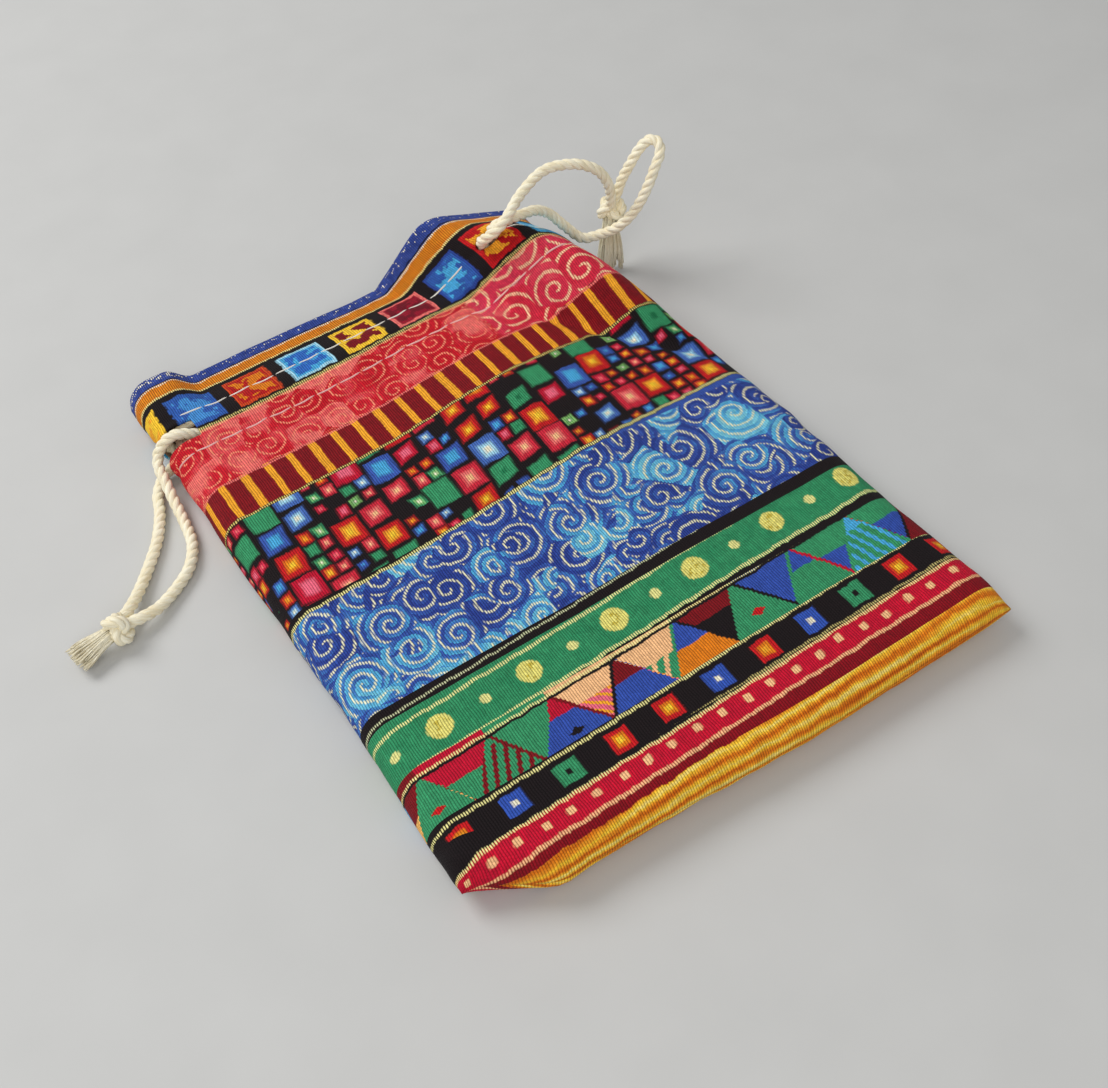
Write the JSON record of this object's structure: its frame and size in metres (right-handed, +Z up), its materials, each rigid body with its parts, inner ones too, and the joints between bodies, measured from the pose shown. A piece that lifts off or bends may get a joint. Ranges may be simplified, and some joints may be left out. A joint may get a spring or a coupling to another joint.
{
  "type": "drawstring pouch",
  "caption": "Small flat cloth pouch lying on its back, with a turned-in mouth and stitched channel for two knotted cotton drawstrings that come out at a side slit and a front hole.",
  "frame": {"origin": "bottom centre of the pouch as it lies on its back, cords left out", "axes": "+X across the pouch to the side with the raised corner, +Y from the bottom fold to the mouth, +Z up from the surface it lies on"},
  "size_m": [0.1524, 0.1379, 0.0302],
  "materials": {
    "printed_cloth": "ribbed printed cotton and linen cloth, matt",
    "cotton_cord": "undyed twisted cotton cord"
  },
  "bodies": {
    "root": {"pouch_cloth": "printed_cloth", "left_drawstring": "cotton_cord", "left_knot": "cotton_cord", "left_tassel": "cotton_cord", "right_drawstring": "cotton_cord", "right_knot": "cotton_cord", "right_tassel": "cotton_cord"}
  },
  "joints": []
}
